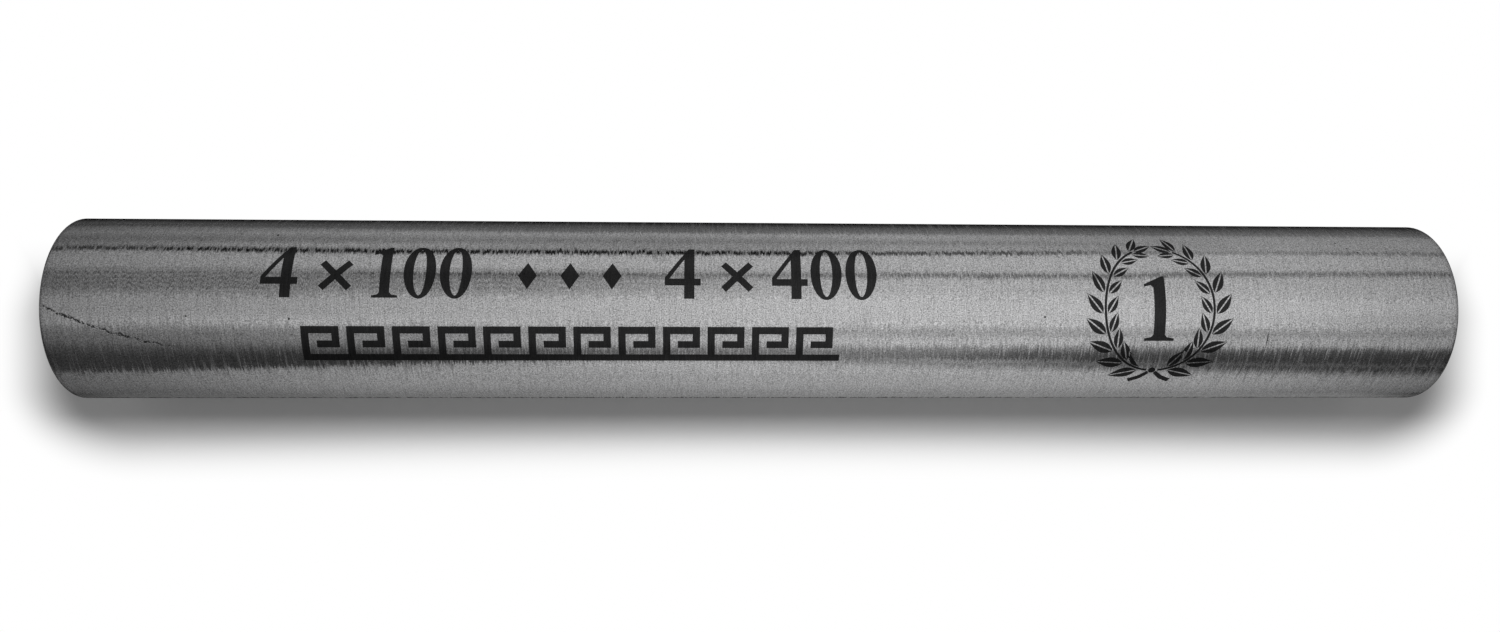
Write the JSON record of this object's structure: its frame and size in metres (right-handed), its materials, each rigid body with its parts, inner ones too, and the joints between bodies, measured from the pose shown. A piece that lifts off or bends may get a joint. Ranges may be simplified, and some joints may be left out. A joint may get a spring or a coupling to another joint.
{
  "type": "relay baton",
  "caption": "Smooth hollow round tube of brushed aluminium, open at both ends, carried and passed from hand to hand in a relay race.",
  "frame": {"origin": "middle of the tube, on its axis", "axes": "+X along the tube's axis; the tube lies on its side, with the marked face of the visual model turned up to +Z"},
  "size_m": [0.288, 0.038, 0.038],
  "materials": {
    "brushed_aluminium": "satin, brushed round the tube in fine hairlines"
  },
  "bodies": {
    "root": {"baton_tube": "brushed_aluminium"}
  },
  "joints": []
}
